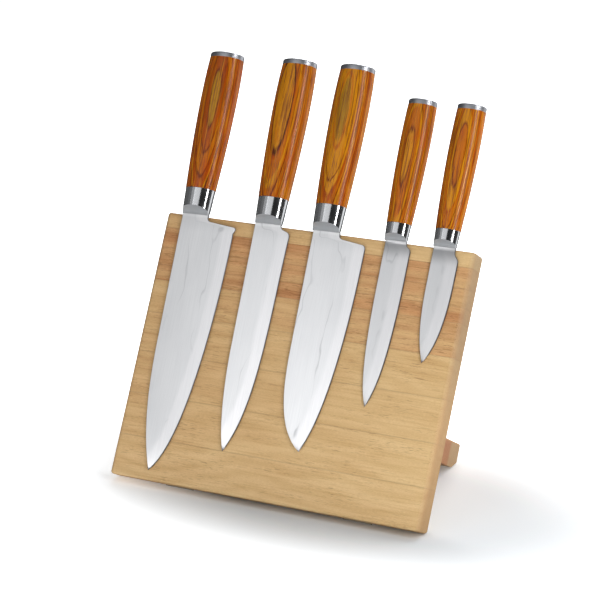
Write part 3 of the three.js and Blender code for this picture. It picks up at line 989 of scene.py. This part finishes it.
def cove_reach(handle, height):
    """Half the ferrule's thickness where it is ground down to the blade."""
    start = BLADE_END_THICKNESS / 2
    full = handle["ferrule_lower"] * OVAL_FLATNESS
    return start + (full - start) * (max(height, 0) / handle["cove_height"]) ** COVE_POWER


def cove_tool(handle, side, centre):
    """What a wheel grinds off one face of a ferrule's lower end."""
    heights = np.linspace(0, COVE_OVERRUN * handle["cove_height"], COVE_STEPS)
    outline = [(centre + side * cove_reach(handle, height), height) for height in heights]
    outside = 2 * handle["ferrule_lower"]
    outline[0] = (outline[0][0], -1)
    outline += [(centre + side * outside, heights[-1]), (centre + side * outside, -1)]
    return prism(outline, -outside, outside)


def build_ferrule(name, knife, place, centre, materials):
    """An oval collar whose lower end is ground down to the blade on both faces."""
    handle = knife["handle"]
    top, lower, upper = handle["ferrule_top"], handle["ferrule_lower"], handle["ferrule_upper"]
    outer = [
        oval_ring(lower + (upper - lower) * (height / top), height, centre)
        for height in np.linspace(HAIRLINE, top - STEEL_RIM, 8)
    ]
    outer.append(oval_ring(upper - STEEL_RIM / 2, top, centre))
    inner = [tang_ring(handle, top, centre), tang_ring(handle, HAIRLINE, centre)]
    collar = loft(outer + inner, wrap=True)
    collar = carve(collar, [cove_tool(handle, side, centre) for side in (-1, 1)])
    for face in collar.faces:
        middle = face.calc_center_median()
        off_cove = abs(middle.y - centre) - cove_reach(handle, middle.z)
        in_cove = abs(off_cove) < COVE_TOLERANCE and middle.z < handle["cove_height"]
        face.material_index = int(in_cove)
    finish_piece(
        f"{name}_ferrule_visual", collar, place, name, "ferrule_steel", materials, smooth=20,
    )


def handle_side(handle):
    """A handle's half width and height, from the ferrule up to the cap."""
    belly_height, belly = handle["belly"]
    return bezier([
        (handle["wood_lower"], handle["ferrule_top"] + HAIRLINE),
        (belly, belly_height),
        (handle["wood_upper"], handle["wood_top"]),
    ], 48)


def build_handle(name, knife, place, centre):
    """An oval handle that swells in the middle, with a blind hole for the tang."""
    handle = knife["handle"]
    start = handle["ferrule_top"] + HAIRLINE
    side = handle_side(handle)[::-1]
    outer = [oval_ring(half_width, height, centre) for half_width, height in side]
    inner = [
        tang_ring(handle, start, centre),
        tang_ring(handle, handle["tang_length"] + GAP, centre),
    ]
    finish_piece(
        f"{name}_handle_visual", loft(outer + inner), place, name, "handle_wood",
        [handle_wood(f"{name}_handle_wood", knife)], seed=(31.0 * knife["tip"][0], 0, knife["at"]),
        veneer_depth=veneer_depth(handle, knife, centre),
    )


def build_end_cap(name, knife, place, centre, materials):
    """The flat cap on the butt, with a rounded rim."""
    handle = knife["handle"]
    upper, top, rim = handle["wood_upper"], handle["cap_top"], handle["cap_rim"]
    rings = [oval_ring(upper - STEEL_RIM / 2, handle["wood_top"] + HAIRLINE, centre)]
    for angle in np.linspace(0, math.pi / 2, 8):
        half_width = upper - rim * (1 - math.cos(angle))
        rings.append(oval_ring(half_width, top - rim * (1 - math.sin(angle)), centre))
    finish_piece(f"{name}_end_cap_visual", loft(rings), place, name, "cap_steel", materials)


def build_knives():
    polished = turned_steel("ferrule_steel", srgb(214, 216, 219), 0.10)
    satin = turned_steel("ferrule_bevel_steel", srgb(172, 174, 177), 0.45, metallic=0.5)
    cap = turned_steel("cap_steel", srgb(184, 186, 192), 0.30)
    for name, knife in KNIVES.items():
        place = knife_frame(knife)
        centre = -GAP - knife["handle"]["blade_thickness"] / 2
        build_blade(name, knife, place, centre)
        build_ferrule(name, knife, place, centre, [polished, satin])
        build_handle(name, knife, place, centre)
        build_end_cap(name, knife, place, centre, [cap])


# -------------------- hidden CAD pieces

def finish_hidden_pieces():
    """The magnets and dowels keep their CAD shapes."""
    looks = {"magnet_": magnet_plating("magnet_plating"), "foot_dowel_": dowel_wood("dowel_wood")}
    for node, piece in frame["nodes"].items():
        for start, material in looks.items():
            if node.startswith(start):
                piece.data.materials.clear()
                piece.data.materials.append(material)


# -------------------- the studio

CAMERA_AZIMUTH = 26.25
CAMERA_ELEVATION = 17.35
CAMERA_PLACE = Vector((714.2, -1462.6, 650.1)) * MM
CAMERA_LENS = 134.4
SENSOR_WIDTH = 36


def direction(azimuth, elevation):
    """Azimuth is in degrees from the front of the object towards its right."""
    a, e = math.radians(azimuth), math.radians(elevation)
    return Vector((math.sin(a) * math.cos(e), -math.cos(a) * math.cos(e), math.sin(e)))


def set_up(name, data, place, behind):
    """Adds a camera or a lamp. It looks away from the direction that is given as behind it."""
    made = bpy.data.objects.new(name, data)
    made.location = place
    made.rotation_mode = "QUATERNION"
    made.rotation_quaternion = (-behind).to_track_quat("-Z", "Y")
    bpy.context.scene.collection.objects.link(made)
    return made


def build_camera():
    data = bpy.data.cameras.new("camera")
    data.lens = CAMERA_LENS
    data.sensor_width = SENSOR_WIDTH
    behind = direction(CAMERA_AZIMUTH, CAMERA_ELEVATION)
    bpy.context.scene.camera = set_up("camera", data, CAMERA_PLACE, behind)


# Soft lamps that face the object: azimuth and elevation in degrees, distance, width and height in
# metres, and radiance, which is how bright the lamp looks.
LAMP_TARGET = Vector((0, 0, 0.18))
LAMPS = dict(
    front_low=(-20, 22, 1.6, 0.60, 0.40, 2.3),
    front_high=(-16, 42, 1.6, 1.05, 0.75, 0.80),
    front_middle=(-44, 35, 1.6, 0.56, 0.75, 0.38),
    front_left=(-64, 28, 1.6, 0.62, 0.75, 0.15),
    left_wall=(-95, 12, 1.6, 1.10, 0.90, 0.10),
    right_strip=(65, 27, 0.8, 0.08, 0.75, 14.0),
    right_fill=(138, 6, 1.3, 1.1, 0.9, 1.0),
    front_fill=(40, 4, 1.8, 1.3, 0.5, 3.4),
    top_back=(175, 56, 2.0, 2.2, 0.45, 7.4),
)


def build_lamps():
    """The camera doesn't see the lamps, but polished steel does."""
    for name, (azimuth, elevation, distance, width, height, radiance) in LAMPS.items():
        data = bpy.data.lights.new(name, "AREA")
        data.shape = "RECTANGLE"
        data.size = width
        data.size_y = height
        data.energy = radiance * math.pi * width * height
        away = direction(azimuth, elevation)
        lamp = set_up(name, data, LAMP_TARGET + away * distance, away)
        lamp.visible_camera = False


WHITE = 1.3             # a strength at which the background and the floor show as pure white

# How bright the world is depends on a direction's dot product with TOWARDS_BACK: each glow goes
# from one such product to another, and from one strength to another. FLOOR_GLOW stands in for what
# polished steel would mirror of the floor.
TOWARDS_BACK = (0.35, 0.75, 0.55)
BACK_GLOW = (0.3, 0.95, 0.03, 0.25)
FLOOR_GLOW = (-0.6, -0.9, 0.0, 0.45)


def build_world():
    """White to the camera. To the object: bright behind and low in front, and dim elsewhere."""
    world = bpy.data.worlds.new("studio")
    g = Graph(world, "ShaderNodeBackground", "ShaderNodeOutputWorld")
    share = g.node("ShaderNodeVectorMath", operation="DOT_PRODUCT")
    g.plug(share.inputs[0], g.node("ShaderNodeTexCoord").outputs["Generated"])
    g.plug(share.inputs[1], TOWARDS_BACK)
    glows = [g.spread(share.outputs["Value"], *glow) for glow in (BACK_GLOW, FLOOR_GLOW)]
    seen_by_camera = g.node("ShaderNodeLightPath").outputs["Is Camera Ray"]
    g.set(strength=g.spread(seen_by_camera, 0.0, 1.0, g.math("ADD", *glows), WHITE))
    bpy.context.scene.world = world


# The floor, in metres. FLOOR_FADE is how far from the middle of the shadow it begins to glow, and
# how far from it the glow is full. The shadow is wide, so distances along x count for less.
FLOOR_HALF = 1.6
FLOOR_FADE = (0.06, 0.21)
SHADOW_SQUEEZE = (0.55, 1.0, 1.0)
SHADOW_SHIFT = (-0.032, 0.026, 0.0)


def build_floor():
    """A pale floor that brightens away from the object's shadow, until it is white."""
    bm = bmesh.new()
    corners = [(x * FLOOR_HALF, y * FLOOR_HALF, 0) for x, y in ((-1, -1), (1, -1), (1, 1), (-1, 1))]
    bm.faces.new([bm.verts.new(corner) for corner in corners])
    floor = to_object("floor", bm)
    g = material_graph("floor_paint")
    place = g.node("ShaderNodeTexCoord").outputs["Object"]
    far = g.node("ShaderNodeVectorMath", operation="LENGTH")
    g.plug(far.inputs[0], g.stretch(place, SHADOW_SQUEEZE, SHADOW_SHIFT))
    g.set(
        base_color=(0.91, 0.95, 0.985, 1.0),
        roughness=0.8,
        specular_ior_level=0.0,
        emission_color=(1.0, 1.0, 1.0, 1.0),
        emission_strength=g.spread(far.outputs["Value"], *FLOOR_FADE, 0.0, WHITE),
    )
    floor.data.materials.append(g.owner)
    floor.visible_glossy = False


# -------------------- assembly

build_camera()
build_floor()
build_world()
build_lamps()
bpy.context.scene.view_settings.view_transform = "Standard"

build_board()
build_slot_covers()
build_foot()
build_pads()
build_knives()
finish_hidden_pieces()
